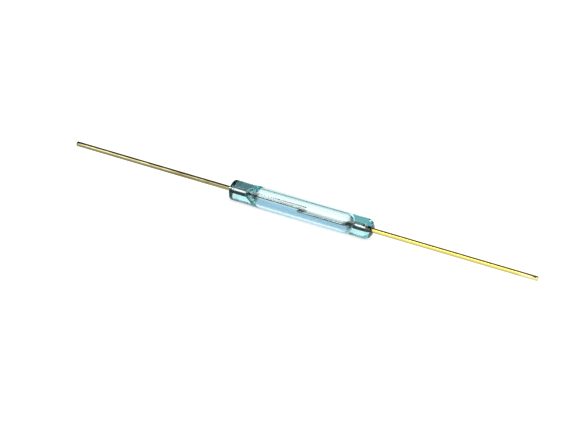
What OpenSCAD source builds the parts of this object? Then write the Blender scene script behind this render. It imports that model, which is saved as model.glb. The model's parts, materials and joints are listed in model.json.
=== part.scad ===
// Glass reed switch: two gold-plated reeds sealed into the ends of a small glass tube.
// The tube lies along X with its middle at the origin. The blades lie flat, one above the other.

/* [Glass capsule] */
// Length of the glass from end to end
glass_length = 14.2; // [12:0.1:18]
// Outside diameter of the hollow tube
glass_diameter = 2; // [1.8:0.05:2.6]
// Wall of the hollow tube
glass_wall = 0.22; // [0.14:0.01:0.3]
// How far the glass draws in at the waist beside each seal
waist_depth = 0.05; // [0:0.01:0.1]
// Length over which the tube narrows to its waist
shoulder_length = 0.6; // [0.3:0.05:1]
// How far the seals lie below the surface of the tube
seal_inset = 0.03; // [0:0.01:0.1]

/* [Left end] */
// Length of wire held in the left seal
left_seal = 1.6; // [1.2:0.05:2.2]
// Length of round wire that stands free in the left end of the hollow
left_neck = 0.35; // [0.15:0.05:0.5]
// Depth over which the hollow narrows to the wire at its left end
left_dome = 1.4; // [0.6:0.05:1.6]
// Form of the left end of the hollow, from a round dome at 0 to a funnel along the wire at 1
left_taper = 0.75; // [0:0.05:1]
// Edge radius of the melted left end of the glass
left_edge = 0.3; // [0.1:0.05:0.7]

/* [Right end] */
// Length of wire held in the right seal
right_seal = 1.8; // [1.2:0.05:2.2]
// Length of round wire that stands free in the right end of the hollow
right_neck = 0.3; // [0.15:0.05:0.5]
// Depth over which the hollow narrows to the wire at its right end
right_dome = 1; // [0.6:0.05:1.6]
// Form of the right end of the hollow, from a round dome at 0 to a funnel along the wire at 1
right_taper = 0.4; // [0:0.05:1]
// Edge radius of the melted right end of the glass
right_edge = 0.7; // [0.1:0.05:0.7]

/* [Leads] */
// Diameter of the wire outside the glass
lead_diameter = 0.45; // [0.43:0.01:0.55]
// Length of each lead outside the glass
lead_length = 16.2; // [4:0.1:30]
// Diameter of the wire where it leaves the seal and enters the hollow
neck_diameter = 0.42; // [0.3:0.01:0.44]
// Chamfer at the cut end of each lead
cut_chamfer = 0.04; // [0.01:0.01:0.1]

/* [Blades] */
// Length over which the round wire is pressed flat
press_length = 0.65; // [0.4:0.05:1]
// Width of each blade
blade_width = 0.9; // [0.6:0.05:1.1]
// Thickness of each blade
blade_thickness = 0.16; // [0.1:0.01:0.25]
// Corner radius of the free end of each blade
blade_corner = 0.1; // [0.02:0.01:0.25]
// Gap between the blades while the switch is open
contact_gap = 0.12; // [0.04:0.01:0.25]
// Length by which the free ends of the blades overlap
contact_overlap = 0.6; // [0.2:0.05:1.5]
// Clearance at the line where each blade flexes
flex_gap = 0.004; // [0.002:0.001:0.01]

/* [Hidden] */

glass_half = glass_length / 2;
tube_r = glass_diameter / 2;
bore_r = tube_r - glass_wall;
waist_r = tube_r - waist_depth;
seal_r = tube_r - seal_inset;
lead_r = lead_diameter / 2;
neck_r = neck_diameter / 2;
lead_end = glass_half + lead_length;
// Height of the middle of the upper blade above the axis
blade_lift = (contact_gap + blade_thickness) / 2;
// Number of steps in each curve of the glass profile
curve_steps = 10;
// Depth to which the pressed stretch runs on inside the round wire
press_root = 0.1;
// Thickness of the thin slices that the pressed stretch spans
slice = 0.01;
$fn = 96;

// Points are [radius, place along the axis], with the end of the glass at positive places.

// A soft step from one point to another, level at both of its ends and without its first point
function soft_step(from, to) = [
    for (i = [1:curve_steps])
        let (t = i / curve_steps)
        [from[0] + (to[0] - from[0]) * (1 - cos(180 * t)) / 2, from[1] + (to[1] - from[1]) * t]
];

// The rounded edge of an end, from the side of the seal to its flat face
function round_edge(r) = [
    for (i = [1:curve_steps])
        let (a = 90 * i / curve_steps)
        [seal_r - r + r * cos(a), glass_half - r + r * sin(a)]
];

// The end of the hollow, from the wire out to the bore, with its points closer together at the wire
function dome(inner, depth, taper) = [
    for (i = [0:curve_steps])
        let (
            t = pow(i / curve_steps, 2),
            rise = (1 - taper) * sqrt(1 - pow(1 - t, 2)) + taper * (1 - cos(180 * t)) / 2
        )
        [neck_r + (bore_r - neck_r) * rise, inner - depth * t]
];

// One end of the glass: shoulder, waist, seal, rounded edge, hole for the wire, end of the hollow
function glass_end(seal, neck, depth, taper, edge) =
    let (
        inner = glass_half - seal,
        waist = inner - neck,
        r = min(edge, seal_r - lead_r)
    )
    concat(
        [[tube_r, waist - shoulder_length]],
        soft_step([tube_r, waist - shoulder_length], [waist_r, waist]),
        soft_step([waist_r, waist], [seal_r, glass_half - r]),
        round_edge(r),
        [[lead_r, glass_half]],
        dome(inner, depth, taper)
    );

// The same end at the other side, with its points in the opposite order
function turned(points) = [for (i = [len(points) - 1:-1:0]) [points[i][0], -points[i][1]]];

module along_x() {
    rotate([0, 90, 0])
        rotate_extrude()
            children();
}

module glass_capsule() {
    color("paleturquoise", 0.5)
        along_x()
            polygon(concat(
                glass_end(right_seal, right_neck, right_dome, right_taper, right_edge),
                turned(glass_end(left_seal, left_neck, left_dome, left_taper, left_edge))
            ));
}

// Thin slice of a blade at a place along the axis, above the axis for side 1 and below it for side -1
module blade_slice(place, side) {
    translate([place, -blade_width / 2, side * blade_lift - blade_thickness / 2])
        cube([slice, blade_width, blade_thickness]);
}

// A lead on +X: the cut end, the free wire, the stretch in the seal, the neck and the pressed stretch
module lead(seal, neck, side) {
    inner = glass_half - seal;
    pressed = inner - neck;
    along_x()
        polygon([
            [0, pressed],
            [neck_r, pressed],
            [neck_r, inner],
            [lead_r, glass_half],
            [lead_r, lead_end - cut_chamfer],
            [lead_r - cut_chamfer, lead_end],
            [0, lead_end]
        ]);
    hull() {
        blade_slice(pressed - press_length, side);
        translate([pressed + press_root - slice, 0, 0])
            rotate([0, 90, 0])
                cylinder(h = slice, r = neck_r, $fn = 32);
    }
}

// A blade on +X, from the line where it flexes to its free end past the middle of the glass
module blade(seal, neck, side) {
    root = glass_half - seal - neck - press_length - flex_gap;
    tip = -contact_overlap / 2;
    half = blade_width / 2;
    corner = [
        for (i = [0:curve_steps])
            let (a = 90 * i / curve_steps)
            [tip + blade_corner * (1 - sin(a)), half - blade_corner * (1 - cos(a))]
    ];
    translate([0, 0, side * blade_lift - blade_thickness / 2])
        linear_extrude(blade_thickness)
            polygon(concat(
                [[root, -half], [root, half]],
                corner,
                [for (i = [curve_steps:-1:0]) [corner[i][0], -corner[i][1]]]
            ));
}

module left_lead() {
    color("darkkhaki")
        mirror([1, 0, 0])
            lead(left_seal, left_neck, 1);
}

module right_lead() {
    color("gold")
        lead(right_seal, right_neck, -1);
}

module left_blade() {
    color("silver")
        mirror([1, 0, 0])
            blade(left_seal, left_neck, 1);
}

module right_blade() {
    color("silver")
        blade(right_seal, right_neck, -1);
}

glass_capsule();
left_lead();
right_lead();
left_blade();
right_blade();
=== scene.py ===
import json
import math

import bmesh
import bpy
from mathutils import Matrix, Vector, noise


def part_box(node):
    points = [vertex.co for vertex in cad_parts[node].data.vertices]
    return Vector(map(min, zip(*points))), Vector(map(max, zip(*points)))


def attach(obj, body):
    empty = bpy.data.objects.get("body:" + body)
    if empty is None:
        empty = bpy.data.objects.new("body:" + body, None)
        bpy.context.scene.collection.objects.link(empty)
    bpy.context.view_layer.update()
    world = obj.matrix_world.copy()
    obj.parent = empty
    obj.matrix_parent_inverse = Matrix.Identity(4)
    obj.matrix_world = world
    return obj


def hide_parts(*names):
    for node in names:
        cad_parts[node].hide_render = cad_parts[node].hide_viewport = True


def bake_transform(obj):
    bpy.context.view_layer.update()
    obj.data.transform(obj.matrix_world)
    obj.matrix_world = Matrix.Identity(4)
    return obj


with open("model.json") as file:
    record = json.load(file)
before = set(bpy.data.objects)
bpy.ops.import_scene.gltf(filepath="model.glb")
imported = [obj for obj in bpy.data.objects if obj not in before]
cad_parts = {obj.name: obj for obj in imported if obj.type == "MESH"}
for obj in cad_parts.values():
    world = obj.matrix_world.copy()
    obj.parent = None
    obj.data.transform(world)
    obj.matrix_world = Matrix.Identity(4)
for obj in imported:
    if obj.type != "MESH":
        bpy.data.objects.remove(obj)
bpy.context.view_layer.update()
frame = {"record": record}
mm = 0.001  # sizes below are in millimetres, the scene is in metres
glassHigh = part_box("glass_capsule")[1]
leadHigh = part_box("right_lead")[1]
glassHalf = glassHigh.x / mm
tubeRadius = glassHigh.z / mm
leadEnd = leadHigh.x / mm
leadRadius = frame["record"]["mounts"][1]["dims"]["r_mm"]


def hexLinear(code):
    # sRGB hex to the linear values that the shaders take
    channels = [int(code[i:i + 2], 16) / 255 for i in (0, 2, 4)]
    return [c / 12.92 if c <= 0.04045 else ((c + 0.055) / 1.055) ** 2.4 for c in channels] + [1.0]


def addNode(tree, kind, inputs=None, **settings):
    # one node with its settings; each input is a value or what another node gives
    node = tree.nodes.new("ShaderNode" + kind)
    for key, value in settings.items():
        setattr(node, key, value)
    for key, value in (inputs or {}).items():
        if isinstance(value, bpy.types.NodeSocket):
            tree.links.new(value, node.inputs[key])
        else:
            node.inputs[key].default_value = value
    return node.outputs


def newMaterial(name):
    material = bpy.data.materials.new(name)
    material.use_nodes = True
    material.node_tree.nodes.clear()
    return material, material.node_tree


def finishMesh(name, bm, materials):
    # merges the seam, turns the faces outwards and makes the smooth object at the origin
    bmesh.ops.remove_doubles(bm, verts=bm.verts, dist=1e-7)
    bmesh.ops.recalc_face_normals(bm, faces=bm.faces)
    mesh = bpy.data.meshes.new(name)
    bm.to_mesh(mesh)
    bm.free()
    mesh.polygons.foreach_set("use_smooth", [True] * len(mesh.polygons))
    for material in materials:
        mesh.materials.append(material)
    piece = bpy.data.objects.new(name, mesh)
    bpy.context.scene.collection.objects.link(piece)
    return piece


# Glass: one tube of blue-green sealing glass, its ends melted onto the wires

glassShape = {
    "wall": 0.22,
    "waistDepth": 0.05,
    "shoulder": 0.6,
    "sealInset": 0.03,
    # a taper of 1 runs out along the wire like a funnel, and a taper of 0 is a round dome
    "left": {"seal": 1.6, "neck": 0.35, "dome": 1.4, "taper": 0.75, "edge": 0.3},
    "right": {"seal": 1.8, "neck": 0.3, "dome": 1.0, "taper": 0.4, "edge": 0.7},
    "wireGrip": 0.012,  # the glass reaches this far into the wire, so no film of air shows between them
    "curveSteps": 24,
    "turnSteps": 160,
    "ripple": 0.018,  # the melted ends are a little uneven
    "rippleLength": 0.8,
    "rippleFrom": (4.4, 5.4),
}


def easeStep(start, end, steps):
    # points of a soft step that is level at both ends, without its first point
    points = []
    for i in range(1, steps + 1):
        t = i / steps
        rise = (1 - math.cos(math.pi * t)) / 2
        points.append((start[0] + (end[0] - start[0]) * t, start[1] + (end[1] - start[1]) * rise))
    return points


def glassEnd(end):
    # one end of the section, as (place along the axis, radius), from the tube round to the bore
    g, steps = glassShape, glassShape["curveSteps"]
    edge, taper = end["edge"], end["taper"]
    inner = glassHalf - end["seal"]
    sealRadius = tubeRadius - g["sealInset"]
    waist = (inner - end["neck"], tubeRadius - g["waistDepth"])
    boreRadius = tubeRadius - g["wall"]
    holeOut, holeIn = leadRadius - g["wireGrip"], reedShape["neck"] - g["wireGrip"]
    points = [(waist[0] - g["shoulder"], tubeRadius)]
    points += easeStep(points[0], waist, steps)
    points += easeStep(waist, (glassHalf - edge, sealRadius), steps)
    for i in range(1, steps + 1):
        a = math.pi / 2 * i / steps
        points.append((glassHalf - edge * (1 - math.sin(a)), sealRadius - edge * (1 - math.cos(a))))
    points.append((glassHalf, holeOut))
    for i in range(steps + 1):
        t = (i / steps) ** 2  # closer together where the dome is steep
        domeRise = math.sqrt(1 - (1 - t) ** 2)
        funnelRise = (1 - math.cos(math.pi * t)) / 2
        rise = (1 - taper) * domeRise + taper * funnelRise
        points.append((inner - end["dome"] * t, holeIn + (boreRadius - holeIn) * rise))
    return points


def rippleEnds(bm):
    # draws the melted glass in by a varying amount, except where it holds the wire
    g = glassShape
    low, high = g["rippleFrom"]
    for vert in bm.verts:
        place = vert.co / mm
        radius = math.hypot(place.y, place.z)
        amount = min(max((abs(place.x) - low) / (high - low), 0), 1)
        amount *= min(max((radius - leadRadius) / leadRadius, 0), 1) * g["ripple"]
        amount *= 0.5 + 0.5 * noise.noise(place / g["rippleLength"])
        vert.co.yz = vert.co.yz * (1 - amount / radius)


def makeGlass(material):
    section = glassEnd(glassShape["right"])
    section += [(-x, r) for x, r in reversed(glassEnd(glassShape["left"]))]
    bm = bmesh.new()
    verts = [bm.verts.new((x * mm, 0, r * mm)) for x, r in section]
    edges = [bm.edges.new((verts[i - 1], verts[i])) for i in range(len(verts))]
    bmesh.ops.spin(bm, geom=verts + edges, cent=(0, 0, 0), axis=(1, 0, 0), dvec=(0, 0, 0),
                   angle=2 * math.pi, steps=glassShape["turnSteps"], use_merge=True)
    rippleEnds(bm)
    return finishMesh("glass_envelope", bm, [material])


# Reeds: each is one wire, round and gold-plated outside the glass, pressed flat inside it

reedShape = {
    "neck": 0.21,  # radius of the wire where it leaves the seal
    "press": 0.65,  # length of the stretch pressed flat
    "halfWidth": 0.45,
    "halfThick": 0.08,
    "edgeRound": 0.055,  # pressed metal bulges, so the blade's long edges are round
    "edgeShare": 0.97,  # past this share of the half width, a face belongs to an edge
    "shadedEdgeTop": 0.045,  # below this height from a blade's middle, its edges take the dark matt finish as painted shade; above it they are as bright as its face
    "lift": 0.14,  # middle of a blade from the axis
    "overlap": 0.3,  # each tip reaches this far past the middle
    "tipCorner": 0.1,
    "cut": {"left": 0.03, "right": 0.12},  # edge radius at the cut end of each lead
    "bendTo": 0.4,  # a blade bends between its root and this share of the root's distance from the middle
    "ringPoints": 32,
    "steps": {"cut": 4, "lead": 24, "seal": 4, "press": 14, "blade": 16, "tip": 6},
    "flatWeight": 80,
}


def placeRing(ring, x, halfWidth, halfThick, corner, lift):
    # a rounded rectangle across the axis, which is a circle where all three sizes are equal
    for vert, angle in ring.items():
        c, s = math.cos(angle), math.sin(angle)
        y = math.copysign(halfWidth - corner, c) + corner * c
        z = math.copysign(halfThick - corner, s) + corner * s
        vert.co = Vector((x, y, z + lift)) * mm


def pushRing(bm, ring):
    # extrudes the ring's edges and returns the new ring with the same angles
    edges = [e for e in bm.edges if e.verts[0] in ring and e.verts[1] in ring]
    made = bmesh.ops.extrude_edge_only(bm, edges=edges)["geom"]
    newRing = {}
    for vert in (v for v in made if isinstance(v, bmesh.types.BMVert)):
        for edge in vert.link_edges:
            before = edge.other_vert(vert)
            if before in ring:
                newRing[vert] = ring[before]
    return newRing


def bladeRoot(end):
    # where the pressed stretch has become the flat blade
    return glassHalf - end["seal"] - end["neck"] - reedShape["press"]


def reedStations(end, cut):
    # (place, half width, half thickness, corner, lift) from the cut end of the lead to the tip of the blade
    r, neck, steps = reedShape, reedShape["neck"], reedShape["steps"]
    inner = glassHalf - end["seal"]
    pressed = inner - end["neck"]
    root = bladeRoot(end)
    rows = []
    for i in range(steps["cut"] + 1):  # rounded edge of the cut end
        a = math.pi / 2 * i / steps["cut"]
        radius = leadRadius - cut * (1 - math.sin(a))
        rows.append((leadEnd - cut * (1 - math.cos(a)), radius, radius, radius, 0))
    for i in range(1, steps["lead"] + 1):
        x = leadEnd - cut + (glassHalf - leadEnd + cut) * i / steps["lead"]
        rows.append((x, leadRadius, leadRadius, leadRadius, 0))
    for i in range(1, steps["seal"] + 1):
        radius = leadRadius + (neck - leadRadius) * i / steps["seal"]
        rows.append((glassHalf + (inner - glassHalf) * i / steps["seal"], radius, radius, radius, 0))
    rows.append((pressed, neck, neck, neck, 0))
    flat = (r["halfWidth"], r["halfThick"], r["edgeRound"], r["lift"])
    for i in range(1, steps["press"] + 1):  # the round wire is pressed flat
        t = i / steps["press"]
        s = t * t * (3 - 2 * t)
        mix = [a + (b - a) * s for a, b in zip((neck, neck, neck, 0), flat)]
        rows.append((pressed - r["press"] * t, *mix))
    stop = -r["overlap"] + r["tipCorner"]
    for i in range(1, steps["blade"] + 1):
        rows.append((root + (stop - root) * i / steps["blade"], *flat))
    for i in range(1, steps["tip"] + 1):  # rounded corners of the tip
        a = math.pi / 2 * i / steps["tip"]
        drop = r["tipCorner"] * (1 - math.cos(a))
        rows.append((stop - r["tipCorner"] * math.sin(a), r["halfWidth"] - drop, *flat[1:]))
    return rows


def makeReed(name, side, materials):
    r, end = reedShape, glassShape[name]
    bm = bmesh.new()
    count = r["ringPoints"]
    start = bmesh.ops.create_circle(bm, cap_ends=True, segments=count, radius=1)["verts"]
    ring = {v: 2 * math.pi * (i + 0.5) / count for i, v in enumerate(start)}
    for i, (x, halfWidth, halfThick, corner, lift) in enumerate(reedStations(end, r["cut"][name])):
        if i:
            ring = pushRing(bm, ring)
        placeRing(ring, side * x, halfWidth, halfThick, corner, -side * lift)
    bmesh.ops.contextual_create(bm, geom=list(ring))
    for face in bm.faces:
        place = face.calc_center_median() / mm
        # the lower faces of a blade's long edges take the dark matt material, which is painted shade
        low = place.z + side * r["lift"] < r["shadedEdgeTop"]
        edge = abs(place.x) < bladeRoot(end) and abs(place.y) > r["edgeShare"] * r["halfWidth"] and low
        face.material_index = 0 if abs(place.x) > glassHalf else 2 if edge else 1
    piece = finishMesh(name + "_reed", bm, materials)
    flatten = piece.modifiers.new("flatFaces", "WEIGHTED_NORMAL")
    flatten.weight = r["flatWeight"]
    return piece


# Materials

def zoneShares(tree, finish, sources):
    # for each zone, 0 at its first place and 1 at its second, in millimetres, and level outside them
    shares = {}
    for zone, source in sources.items():
        first, second = (place * mm for place in finish[zone])
        shares[zone] = addNode(tree, "MapRange", {"Value": source, "From Min": first, "From Max": second},
                               interpolation_type="SMOOTHSTEP")[0]
    return shares


def layerTones(tree, tone, layers):
    # lays each tone over those before it, by its share; a tone is a hex colour or what a node gives
    for share, upper in layers:
        lower, upper = (hexLinear(t) if isinstance(t, str) else t for t in (tone, upper))
        tone = addNode(tree, "Mix", {0: share, 6: lower, 7: upper}, data_type="RGBA")[2]
    return tone


def wireLines(tree, place, width, length):
    # streaks along the wire, with their width and length in millimetres
    stretch = addNode(tree, "Mapping", {"Vector": place, "Scale": (width / length, 1, 1)})[0]
    return addNode(tree, "TexNoise", {"Vector": stretch, "Scale": 1 / (width * mm), "Detail": 3.0})["Fac"]


def sealingGlass():
    # iron-bearing sealing glass, fire-polished: clear and glossy, pale cyan in the wall, teal in the seals
    finish = {
        "thin": "fdffff", "thick": "f7feff",
        "cloudSize": 2.5,
        "ripple": 0.9,
        "rippleLength": 3.6,
        "rippleDepth": 0.0015,
        "mouth": "2e4448",  # oxide from the wire stains the glass where it enters the hollow
        "mouthFrom": (4.2, 4.7),
        "mouthRadius": (0.35, 0.7),
        "body": (0.10, 0.68, 0.71, 1.0),  # the glass takes out mostly red, more of it the thicker it is
        "bodyDensity": 400.0,
    }
    material, tree = newMaterial("sealing_glass")
    place = addNode(tree, "TexCoord")["Object"]
    along = addNode(tree, "SeparateXYZ", {0: place})["X"]
    along = addNode(tree, "Math", {0: along}, operation="ABSOLUTE")[0]
    across = addNode(tree, "VectorMath", {0: place, 1: (0, 1, 1)}, operation="MULTIPLY")[0]
    across = addNode(tree, "VectorMath", {0: across}, operation="LENGTH")["Value"]
    share = zoneShares(tree, finish, {"mouthFrom": along, "mouthRadius": across})
    mouth = addNode(tree, "Math", {0: share["mouthFrom"], 1: share["mouthRadius"]}, operation="SUBTRACT")[0]
    cloud = addNode(tree, "TexNoise", {"Vector": place, "Scale": 1 / (finish["cloudSize"] * mm)})["Fac"]
    tone = layerTones(tree, finish["thin"], [(cloud, finish["thick"]), (mouth, finish["mouth"])])
    wave = wireLines(tree, place, finish["ripple"], finish["rippleLength"])
    polish = addNode(tree, "Bump", {
        "Height": wave, "Strength": 1.0, "Distance": finish["rippleDepth"] * mm})[0]
    surface = addNode(tree, "BsdfPrincipled", {
        "Base Color": tone, "Roughness": 0.0, "IOR": 1.52, "Transmission Weight": 1.0, "Normal": polish})[0]
    body = addNode(tree, "VolumeAbsorption", {"Color": finish["body"], "Density": finish["bodyDensity"]})[0]
    addNode(tree, "OutputMaterial", {"Surface": surface, "Volume": body})
    return material


def goldPlating():
    # thin gold over drawn wire: glossy, with lines along the wire and richer on the right; painted shade
    # underneath, a painted dark reflection along the top, and the left lead painted darker towards the glass
    finish = {
        "pale": "e2daa6", "rich": "ecdf7c", "tip": "efeab8",
        # the Under tones are painted shade: darker copies of each gold for the underside of each lead
        "paleShaded": "b8ae74", "richShaded": "b4a65c", "tipShaded": "c6be92",
        "nearGlassShade": "6e6642", "brownTopShade": "544618", "deepTopShade": "dcc450",
        "undersideShade": (-0.1, 0.03),
        "richSide": (-glassHalf, glassHalf),
        "rightHalf": (-1.0, 1.0),
        "paleTip": (leadEnd - 2.0, leadEnd - 1.3),  # the end of the right lead is paler
        "nearGlassShadeFrom": (-17.0, -9.0),  # painted shade: the left lead darkens towards the glass
        "paintedTopBand": (0.065, 0.125),  # a painted dark reflection along the top: brown on the left lead, and only a deeper gold on the right one
        # patches and lines break these zones up, and the number is added so that they show between them too
        "patchy": {"richSide": 0.4, "nearGlassShadeFrom": 0.1, "paintedTopBand": 0.35},
        "lined": {"undersideShade": 0.45},
        "patch": 1.3,  # places where the plating is thinner
        "line": 0.05,  # drawing lines are a few thousandths of a millimetre wide, too fine to show
        "lineLength": 2.0,
        "lineDepth": 0.002,
        "roughness": (0.08, 0.22),
    }
    material, tree = newMaterial("gold_plated_wire")
    place = addNode(tree, "TexCoord")["Object"]
    axes = addNode(tree, "SeparateXYZ", {0: place})
    lines = wireLines(tree, place, finish["line"], finish["lineLength"])
    patch = addNode(tree, "TexNoise", {
        "Vector": place, "Scale": 1 / (finish["patch"] * mm), "Detail": 4.0})["Fac"]
    share = zoneShares(tree, finish, {
        "undersideShade": axes["Z"], "paintedTopBand": axes["Z"], "richSide": axes["X"], "rightHalf": axes["X"],
        "paleTip": axes["X"], "nearGlassShadeFrom": axes["X"]})
    for zone, other in (("richSide", "paleTip"), ("nearGlassShadeFrom", "rightHalf")):
        share[zone] = addNode(tree, "Math", {0: share[zone], 1: share[other]}, operation="SUBTRACT")[0]
    for pattern, zones in ((patch, finish["patchy"]), (lines, finish["lined"])):
        for zone, base in zones.items():
            broken = addNode(tree, "Math", {0: pattern, 1: base}, operation="ADD")[0]
            share[zone] = addNode(tree, "Math", {0: share[zone], 1: broken}, operation="MULTIPLY")[0]
    top, shadedTone = (layerTones(tree, finish["pale" + side], [
        (share["richSide"], finish["rich" + side]), (share["paleTip"], finish["tip" + side])])
        for side in ("", "Shaded"))
    upper = layerTones(tree, finish["brownTopShade"], [(share["rightHalf"], finish["deepTopShade"])])
    # painted shade below and lit gold above, then the painted shade near the glass and the painted band along
    # the top
    tone = layerTones(tree, shadedTone, [
        (share["undersideShade"], top), (share["nearGlassShadeFrom"], finish["nearGlassShade"]), (share["paintedTopBand"], upper)])
    smooth, dull = finish["roughness"]
    rough = addNode(tree, "MapRange", {"Value": lines, "To Min": smooth, "To Max": dull})[0]
    drawn = addNode(tree, "Bump", {"Height": lines, "Strength": 0.6, "Distance": finish["lineDepth"] * mm})[0]
    surface = addNode(tree, "BsdfPrincipled", {
        "Base Color": tone, "Metallic": 1.0, "Roughness": rough, "Normal": drawn})[0]
    addNode(tree, "OutputMaterial", {"Surface": surface})
    return material


def bladeMetal():
    # pressed nickel-iron: bright rolled blades with painted shade where their tips meet and a painted dark
    # line along the back of the left blade, and in the seals oxide under a painted highlight band and painted
    # shade
    finish = {
        "blade": "f0f0ec", "streak": "d4d6d4", "paintedBackShade": "8c9698", "contactShade": "6c7476",
        "oxideAndShade": "1c2426", "paintedSealHighlight": "e4e7e4",
        "raisedAndShadedBack": (0.05, 0.45),  # pressing leaves the back of the upper face raised, and its duller tone there is a painted dark reflection
        "backRise": 0.08,
        "backFrom": (-4.5, -2.0),
        "upperFace": (0.1, 0.2),
        "contactShadeLength": (0.55, 0.35),
        "contactShadeFace": (0.1, 0.075),  # only the faces that meet are painted darker, as painted shade in the gap between the tips
        "sealed": (4.1, 4.5),
        "paintedShineFrom": (0.0, 0.05),  # painted highlight: the sealed wire is bright between these heights, and elsewhere black, partly oxide and partly painted shade
        "paintedShineTo": (0.12, 0.16),
        "mouth": (5.3, 5.8),  # the painted highlight stops short of the mouth of the seal, and the wire is black all round there
        "line": 0.04,  # rolling marks, drawn coarser than they are
        "lineLength": 1.2,
        "roughness": (0.1, 0.28),
    }
    material, tree = newMaterial("nickel_iron")
    place = addNode(tree, "TexCoord")["Object"]
    axes = addNode(tree, "SeparateXYZ", {0: place})
    along = addNode(tree, "Math", {0: axes["X"]}, operation="ABSOLUTE")[0]
    height = addNode(tree, "Math", {0: axes["Z"]}, operation="ABSOLUTE")[0]
    lines = wireLines(tree, place, finish["line"], finish["lineLength"])
    share = zoneShares(tree, finish, {
        "raisedAndShadedBack": axes["Y"], "backFrom": axes["X"], "upperFace": axes["Z"],
        "contactShadeLength": along, "contactShadeFace": height, "sealed": along,
        "paintedShineFrom": axes["Z"], "paintedShineTo": axes["Z"], "mouth": along})
    for zone, other, operation in (
            ("raisedAndShadedBack", "backFrom", "MULTIPLY"), ("raisedAndShadedBack", "upperFace", "MULTIPLY"),
            ("contactShadeLength", "contactShadeFace", "MULTIPLY"),
            ("paintedShineFrom", "paintedShineTo", "SUBTRACT"), ("paintedShineFrom", "mouth", "MULTIPLY")):
        share[zone] = addNode(tree, "Math", {0: share[zone], 1: share[other]}, operation=operation)[0]
    # a painted highlight band on the sealed wire, over black that is partly oxide and partly painted shade
    oxideAndShade = layerTones(tree, finish["oxideAndShade"], [(share["paintedShineFrom"], finish["paintedSealHighlight"])])
    # painted shade where the blade tips meet and a painted dark line along the back of the left blade
    tone = layerTones(tree, finish["blade"], [
        (lines, finish["streak"]), (share["raisedAndShadedBack"], finish["paintedBackShade"]),
        (share["contactShadeLength"], finish["contactShade"]), (share["sealed"], oxideAndShade)])
    smooth, dull = finish["roughness"]
    rough = addNode(tree, "MapRange", {"Value": lines, "To Min": smooth, "To Max": dull})[0]
    raised = addNode(tree, "Bump", {
        "Height": share["raisedAndShadedBack"], "Strength": 1.0, "Distance": finish["backRise"] * mm})[0]
    surface = addNode(tree, "BsdfPrincipled", {
        "Base Color": tone, "Metallic": 1.0, "Roughness": rough, "Normal": raised})[0]
    addNode(tree, "OutputMaterial", {"Surface": surface})
    return material


def shadedBladeEdge():
    # the bulged edges of the pressed blade, which no tool has burnished: matt, and painted dark as shade on
    # their lower part
    finish = {"tone": "272c2e", "worn": "3a4042", "line": 0.05, "lineLength": 0.5, "roughness": (0.4, 0.6)}
    material, tree = newMaterial("shaded_matt_nickel_iron")
    place = addNode(tree, "TexCoord")["Object"]
    lines = wireLines(tree, place, finish["line"], finish["lineLength"])
    tone = layerTones(tree, finish["tone"], [(lines, finish["worn"])])
    smooth, dull = finish["roughness"]
    rough = addNode(tree, "MapRange", {"Value": lines, "To Min": smooth, "To Max": dull})[0]
    surface = addNode(tree, "BsdfPrincipled", {"Base Color": tone, "Metallic": 1.0, "Roughness": rough})[0]
    addNode(tree, "OutputMaterial", {"Surface": surface})
    return material


glassMaterial = sealingGlass()
wireMaterials = [goldPlating(), bladeMetal(), shadedBladeEdge()]
print("materials made:", [m.name for m in [glassMaterial] + wireMaterials])

glass = makeGlass(glassMaterial)
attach(glass, "capsule")
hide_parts("glass_capsule")

for name, side in (("left", -1), ("right", 1)):
    reed = makeReed(name, side, wireMaterials)
    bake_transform(reed)
    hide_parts(name + "_lead", name + "_blade")

# Camera: the photograph's view, from the right, a little above, turned so that the wire slopes down

cameraView = {
    "azimuth": 23.6,
    "elevation": 17.1,
    "roll": 9.1,
    "distance": 350.0,
    "lens": 242.0,
    "sensor": 36.0,
    "clip": (10, 10000),
    "aimRight": -1.08,  # the middle of the glass stands right of and above the middle of the frame
    "aimUp": -0.49,
}


def makeCamera():
    v = cameraView
    azimuth, elevation, roll = (math.radians(v[k]) for k in ("azimuth", "elevation", "roll"))
    back = Vector((math.sin(azimuth) * math.cos(elevation), -math.cos(azimuth) * math.cos(elevation),
                   math.sin(elevation)))
    level = Vector((0, 0, 1)).cross(back).normalized()
    upright = back.cross(level)
    right = level * math.cos(roll) + upright * math.sin(roll)
    up = back.cross(right)
    data = bpy.data.cameras.new("photo_view")
    data.lens, data.sensor_width = v["lens"], v["sensor"]
    data.clip_start, data.clip_end = (c * mm for c in v["clip"])
    camera = bpy.data.objects.new("photo_view", data)
    camera.matrix_world = Matrix((right, up, back)).transposed().to_4x4()
    camera.location = (back * v["distance"] + right * v["aimRight"] + up * v["aimUp"]) * mm
    bpy.context.scene.collection.objects.link(camera)
    bpy.context.scene.camera = camera


makeCamera()
print("camera placed")

# Studio: a white paper floor, a backdrop and a wall beside the camera, two soft boxes and a dim room

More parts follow.
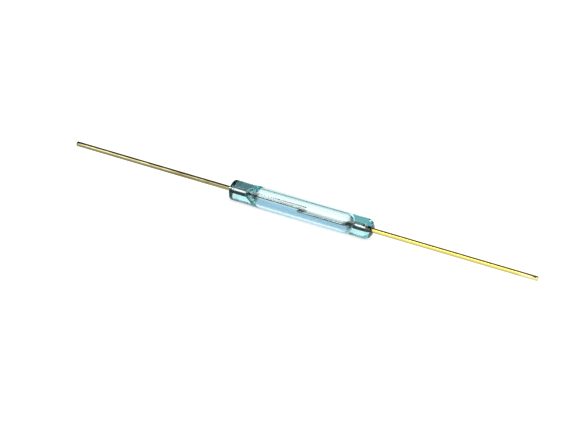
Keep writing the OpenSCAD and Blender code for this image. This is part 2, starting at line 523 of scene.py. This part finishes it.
studio = {
    "floorRadius": 250,
    "wallRadius": 900,
    "bend": 280,  # radius in which the paper rises from the floor
    "bendSteps": 12,
    "turnSteps": 64,
    "back": (118, 235),  # the backdrop, in degrees from the camera
    "front": (-62, -10),  # the wall on the camera's side; between the two the room is open and dim
    "paper": 0.4,  # how much light the paper gives back
    "glow": {"floor": 0.95, "back": 1.0, "front": 0.9},  # only seen, directly or in metal and glass
    "wallTone": "eafcff",
    "wallDark": "303438",
    "fade": {"back": (280, 560), "front": (430, 850)},  # heights between which each wall turns dark
    "contactShade": 3.5,  # reach of the soft shade under the object
    "contactRange": (0.3, 0.9),
    "contactTone": "e2e8ea",
    "contactSamples": 8,
    # the coloured shade behind the glass, from left to right: blue behind the hollow, teal behind the ends
    "shadeStarts": {
        "leftEnd": (-7.5, -7.1), "hollow": (-5.0, -4.6), "rightEnd": (5.0, 5.3), "open": (7.0, 7.4)},
    "shadeTones": {"leftEnd": "648486", "hollow": "94c4de", "rightEnd": "90c2c2", "open": "f4f7f8"},
    "shadeSlant": 0.437,  # it falls back and to the left, away from the key
    "shadeFront": (-0.7, 0.1),
    "shadeBack": (1.8, 3.4),
    "dim": 0.2,  # how much metal and glass show of the floor to the left and front
    "dimPlace": (-15.0, -8.0),
    "dimSlant": 0.8,
    "room": {"tone": "dad6c6", "strength": 0.15},
    "lamps": {
        "key": {"place": (330, -480, 560), "size": (600, 450), "power": 6.0, "colour": "fff6ec"},
        "strip": {"place": (-266, -483, 431), "size": (240, 300), "power": 0.9, "colour": "ffffff"},
    },
}


def floorTone(tree):
    s, tones = studio, studio["shadeTones"]
    place = addNode(tree, "TexCoord")["Object"]
    axes = addNode(tree, "SeparateXYZ", {0: place})
    along = addNode(tree, "Math", {0: axes["Y"], 1: s["shadeSlant"], 2: axes["X"]},
                    operation="MULTIPLY_ADD")[0]
    starts = zoneShares(tree, s["shadeStarts"], dict.fromkeys(tones, along))
    shade = layerTones(tree, tones["open"], [(starts[part], tones[part]) for part in tones])
    depth = zoneShares(tree, s, {"shadeFront": axes["Y"], "shadeBack": axes["Y"]})
    shade = layerTones(tree, "ffffff", [(depth["shadeFront"], shade), (depth["shadeBack"], "ffffff")])
    sky = addNode(tree, "AmbientOcclusion", {"Distance": s["contactShade"] * mm}, samples=s["contactSamples"])
    low, high = s["contactRange"]
    light = addNode(tree, "MapRange", {"Value": sky["AO"], "From Min": low, "From Max": high})[0]
    plain = layerTones(tree, s["contactTone"], [(light, "ffffff")])
    # the floor itself is white paper, and the coloured shade shows only in the glass and metal
    return layerTones(tree, shade, [(addNode(tree, "LightPath")["Is Camera Ray"], plain)])


def wallTone(tree, part):
    place = addNode(tree, "TexCoord")["Object"]
    height = addNode(tree, "SeparateXYZ", {0: place})["Z"]
    fade = zoneShares(tree, studio["fade"], {part: height})[part]
    return layerTones(tree, studio["wallTone"], [(fade, studio["wallDark"])])


def leftDim(tree):
    # metal and glass show less of the floor on the open side of the room, to the left and front
    place = addNode(tree, "TexCoord")["Object"]
    axes = addNode(tree, "SeparateXYZ", {0: place})
    side = addNode(tree, "Math", {0: axes["Y"], 1: studio["dimSlant"], 2: axes["X"]},
                   operation="MULTIPLY_ADD")[0]
    near = zoneShares(tree, studio, {"dimPlace": side})["dimPlace"]
    return addNode(tree, "MapRange", {"Value": near, "To Min": studio["dim"]})[0]


def whitePaper(part):
    # matt white paper: gives back some of the light, and is plain white where it is seen
    material, tree = newMaterial("white_paper_" + part)
    path = addNode(tree, "LightPath")
    seen = addNode(tree, "Math", {0: path["Is Glossy Ray"], 1: path["Is Transmission Ray"]},
                   operation="MAXIMUM")[0]
    if part == "floor":
        seen = addNode(tree, "Math", {0: seen, 1: leftDim(tree)}, operation="MULTIPLY")[0]
    seen = addNode(tree, "Math", {0: seen, 1: path["Is Camera Ray"]}, operation="MAXIMUM")[0]
    strength = addNode(tree, "Math", {0: seen, 1: studio["glow"][part]}, operation="MULTIPLY")[0]
    tone = floorTone(tree) if part == "floor" else wallTone(tree, part)
    lit = addNode(tree, "Mix", {0: 1.0, 6: tone, 7: [studio["paper"]] * 3 + [1.0]},
                  data_type="RGBA", blend_type="MULTIPLY")[2]
    paper = addNode(tree, "BsdfDiffuse", {"Color": lit})[0]
    glow = addNode(tree, "Emission", {"Color": tone, "Strength": strength})[0]
    both = addNode(tree, "AddShader", {0: paper, 1: glow})[0]
    addNode(tree, "OutputMaterial", {"Surface": both})
    return material


def spunStage(name, points, part, first=0, sweep=360):
    # spins the points through the sweep, in degrees counted from the camera's side
    start = math.radians(cameraView["azimuth"] - 90 + first)
    bm = bmesh.new()
    verts = [bm.verts.new((r * math.cos(start) * mm, r * math.sin(start) * mm, z * mm)) for r, z in points]
    edges = [bm.edges.new((a, b)) for a, b in zip(verts, verts[1:])]
    bmesh.ops.spin(bm, geom=verts + edges, cent=(0, 0, 0), axis=(0, 0, 1), dvec=(0, 0, 0),
                   angle=math.radians(sweep), steps=studio["turnSteps"], use_merge=sweep == 360)
    finishMesh(name, bm, [whitePaper(part)])


def whiteSweep():
    s, low = studio, -tubeRadius
    start = s["wallRadius"] - s["bend"]
    rise = [(s["floorRadius"], low), (start, low)]
    for i in range(1, s["bendSteps"] + 1):
        a = math.pi / 2 * i / s["bendSteps"]
        rise.append((start + s["bend"] * math.sin(a), low + s["bend"] * (1 - math.cos(a))))
    spunStage("floor", [(0, low), (s["floorRadius"], low)], "floor")
    for name, part in (("backdrop", "back"), ("room_front", "front")):
        first, last = s[part]
        top = (s["wallRadius"], s["fade"][part][1])
        spunStage(name, rise + [top], part, first, last - first)


def softbox(name, place, size, power, colour):
    light = bpy.data.lights.new(name, "AREA")
    light.shape = "RECTANGLE"
    light.size, light.size_y = size[0] * mm, size[1] * mm
    light.energy = power
    light.color = hexLinear(colour)[:3]
    lamp = bpy.data.objects.new(name, light)
    lamp.location = Vector(place) * mm
    lamp.rotation_euler = lamp.location.to_track_quat("Z", "Y").to_euler()
    bpy.context.scene.collection.objects.link(lamp)


def dimRoom():
    # white where the camera sees past the paper, dim and a little warm as a light
    room = studio["room"]
    world = bpy.data.worlds.new("studio")
    world.use_nodes = True
    tree = world.node_tree
    tree.nodes.clear()
    seen = addNode(tree, "LightPath")["Is Camera Ray"]
    dim = addNode(tree, "Background", {"Color": hexLinear(room["tone"]), "Strength": room["strength"]})[0]
    white = addNode(tree, "Background", {"Color": hexLinear("ffffff"), "Strength": 1.0})[0]
    both = addNode(tree, "MixShader", {0: seen, 1: dim, 2: white})[0]
    addNode(tree, "OutputWorld", {"Surface": both})
    bpy.context.scene.world = world


whiteSweep()
for name, lamp in studio["lamps"].items():
    softbox(name, **lamp)
dimRoom()
bpy.context.scene.view_settings.view_transform = "Standard"
# light is reflected many times inside the seals before it comes out
bpy.context.scene.cycles.max_bounces = 32
bpy.context.scene.cycles.glossy_bounces = 24
bpy.context.scene.cycles.transmission_bounces = 24
print("studio lit")
